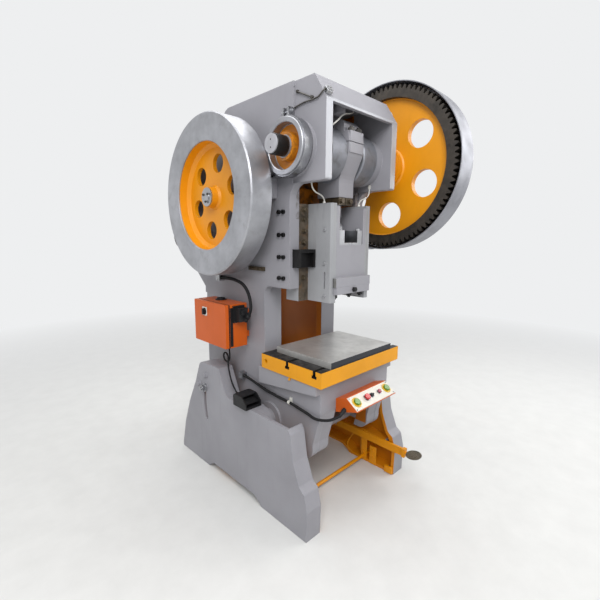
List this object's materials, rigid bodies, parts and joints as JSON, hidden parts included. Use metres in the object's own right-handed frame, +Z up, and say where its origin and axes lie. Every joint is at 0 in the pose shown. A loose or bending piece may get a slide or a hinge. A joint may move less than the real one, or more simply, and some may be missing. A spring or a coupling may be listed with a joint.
{
  "type": "mechanical stamping press",
  "caption": "Inclinable C-frame mechanical stamping press with crank-driven ram, open gear wheel, flywheel, slotted bolster and hand controls.",
  "frame": {"origin": "middle of the whole machine's outline, at floor level", "axes": "+Z up, -Y the operator's side with the ram and table, +X the side of the large gear"},
  "size_m": [1.289, 1.9189, 2.8071],
  "materials": {
    "grey_paint": "hammered grey enamel, satin",
    "yellow_paint": "golden yellow enamel, semi gloss",
    "orange_paint": "orange powder coat, satin",
    "bright_steel": "turned and ground steel, bare",
    "dark_steel": "oiled steel, dark",
    "black_steel": "black oxide",
    "bronze": "turned bronze",
    "black_plastic": "moulded, matte",
    "rubber_black": "cable sheath and belts",
    "red_plastic": "moulded, gloss",
    "green_plastic": "moulded, gloss",
    "crimson_plastic": "moulded, gloss",
    "face_plate": "off white enamel",
    "clip_plastic": "moulded, matte"
  },
  "bodies": {
    "base": {"left_leg": "grey_paint", "right_leg": "grey_paint", "tie_bars": "yellow_paint", "foot_switch": "black_plastic", "foot_switch_lead": "rubber_black"},
    "frame": {"frame_casting": "grey_paint", "tilt_bolts": "bright_steel", "bolster_plate": "yellow_paint", "die_plate": "bright_steel", "left_guide": "bright_steel", "right_guide": "bright_steel", "gib_bolts": "black_steel", "stop_brackets": "black_steel", "crank_bushes": "bronze", "pinion_bearings": "dark_steel", "shaft_covers": "grey_paint", "brake_band": "bright_steel", "brake_anchor": "grey_paint", "gear_guard": "grey_paint", "guard_brackets": "grey_paint", "motor": "grey_paint", "motor_bracket": "grey_paint", "drive_belts": "rubber_black", "control_cabinet": "orange_paint", "cabinet_seal": "rubber_black", "conduit_socket": "black_plastic", "conduit": "rubber_black", "conduit_fitting": "bright_steel", "grease_fitting": "bright_steel", "control_panel": "orange_paint", "panel_face": "face_plate", "panel_lead": "rubber_black", "lead_clip": "clip_plastic"},
    "gear": {"large_gear": "yellow_paint"},
    "flywheel_set": {"flywheel": "bright_steel", "pinion_shaft": "bright_steel", "pinion": "dark_steel"},
    "pulley": {"motor_pulley": "dark_steel"},
    "crank": {"crankshaft": "bright_steel", "brake_drum": "bright_steel", "drum_key_cap": "bright_steel", "clutch_sleeve": "dark_steel"},
    "rod": {"connecting_rod": "grey_paint", "rod_cap_bolts": "dark_steel", "adjusting_screw": "bright_steel", "screw_clamp": "dark_steel"},
    "slide": {"ram": "grey_paint", "ball_seat": "bright_steel", "clamp_plate": "grey_paint", "clamp_bolts": "black_steel"},
    "door": {"cabinet_door": "orange_paint"},
    "knob": {"isolator_knob": "black_plastic"},
    "palm_left": {"palm_button_left": "green_plastic"},
    "palm_right": {"palm_button_right": "green_plastic"},
    "stop": {"stop_button": "red_plastic"},
    "inch": {"inch_button": "crimson_plastic"},
    "selector": {"mode_selector": "black_plastic"},
    "switch_treadle": {"foot_switch_pedal": "black_plastic"},
    "treadle": {"pedal_lever": "yellow_paint"}
  },
  "joints": [
    {"name": "tilt", "type": "hinge", "parent": "base", "child": "frame", "pos_m": [-0.0415, -0.1504, 0.54], "axis": [-1, 0, 0], "range_deg": [0, 18], "deforming": ["foot_switch_lead"]},
    {"name": "gear_spin", "type": "hinge", "parent": "frame", "child": "gear", "pos_m": [0.5395, -0.3854, 2.233], "axis": [1, 0, 0], "continuous": true},
    {"name": "flywheel_spin", "type": "hinge", "parent": "frame", "child": "flywheel_set", "pos_m": [-0.0415, 0.19751, 1.994], "axis": [1, 0, 0], "continuous": true},
    {"name": "pulley_spin", "type": "hinge", "parent": "frame", "child": "pulley", "pos_m": [-0.4585, 0.8296, 1.76], "axis": [1, 0, 0], "continuous": true},
    {"name": "crank_turn", "type": "hinge", "parent": "frame", "child": "crank", "pos_m": [-0.0415, -0.3854, 2.233], "axis": [1, 0, 0], "range_deg": [0, 180]},
    {"name": "rod_pin", "type": "hinge", "parent": "crank", "child": "rod", "pos_m": [-0.0415, -0.3854, 2.298], "axis": [1, 0, 0], "range_deg": [-180, 0]},
    {"name": "ram_slide", "type": "slide", "parent": "frame", "child": "slide", "axis": [0, 0, 1], "range_m": [-0.13, 0]},
    {"name": "door_hinge", "type": "hinge", "parent": "frame", "child": "door", "pos_m": [-0.5845, 0.4526, 1.157], "axis": [0, 0, -1], "range_deg": [0, 110]},
    {"name": "knob_turn", "type": "hinge", "parent": "door", "child": "knob", "pos_m": [-0.6045, 0.3066, 1.232], "axis": [-1, 0, 0], "range_deg": [0, 90]},
    {"name": "palm_left_press", "type": "slide", "parent": "frame", "child": "palm_left", "axis": [0, 0.5821, -0.8131], "range_m": [0, 0.005], "stiffness_N_per_m": 1500, "springref_m": -0.003},
    {"name": "palm_right_press", "type": "slide", "parent": "frame", "child": "palm_right", "axis": [0, 0.5821, -0.8131], "range_m": [0, 0.005], "stiffness_N_per_m": 1500, "springref_m": -0.003},
    {"name": "stop_press", "type": "slide", "parent": "frame", "child": "stop", "axis": [0, 0.5821, -0.8131], "range_m": [0, 0.005], "stiffness_N_per_m": 1500, "springref_m": -0.003},
    {"name": "inch_press", "type": "slide", "parent": "frame", "child": "inch", "axis": [0, 0.5821, -0.8131], "range_m": [0, 0.005], "stiffness_N_per_m": 1500, "springref_m": -0.003},
    {"name": "selector_turn", "type": "hinge", "parent": "frame", "child": "selector", "pos_m": [-0.0455, -0.71868, 0.76573], "axis": [0, -0.5821, 0.8131], "range_deg": [-45, 45]},
    {"name": "switch_press", "type": "hinge", "parent": "base", "child": "switch_treadle", "pos_m": [-0.5285, -0.0444, 0.68], "axis": [1, 0, 0], "range_deg": [0, 6], "stiffness_Nm_per_rad": 10, "springref_deg": -8.59},
    {"name": "treadle_press", "type": "hinge", "parent": "base", "child": "treadle", "pos_m": [0.3425, -0.1104, 0.225], "axis": [1, 0, 0], "range_deg": [0, 6], "stiffness_Nm_per_rad": 150, "springref_deg": -17.19}
  ],
  "couplings": [
    {"joint": "flywheel_spin", "follows": "gear_spin", "ratio": -6},
    {"joint": "pulley_spin", "follows": "gear_spin", "ratio": -21.743},
    {"joint": "rod_pin", "follows": "crank_turn", "ratio": -1},
    {"joint": "ram_slide", "follows": "crank_turn", "m_per_rad": -0.04138}
  ]
}
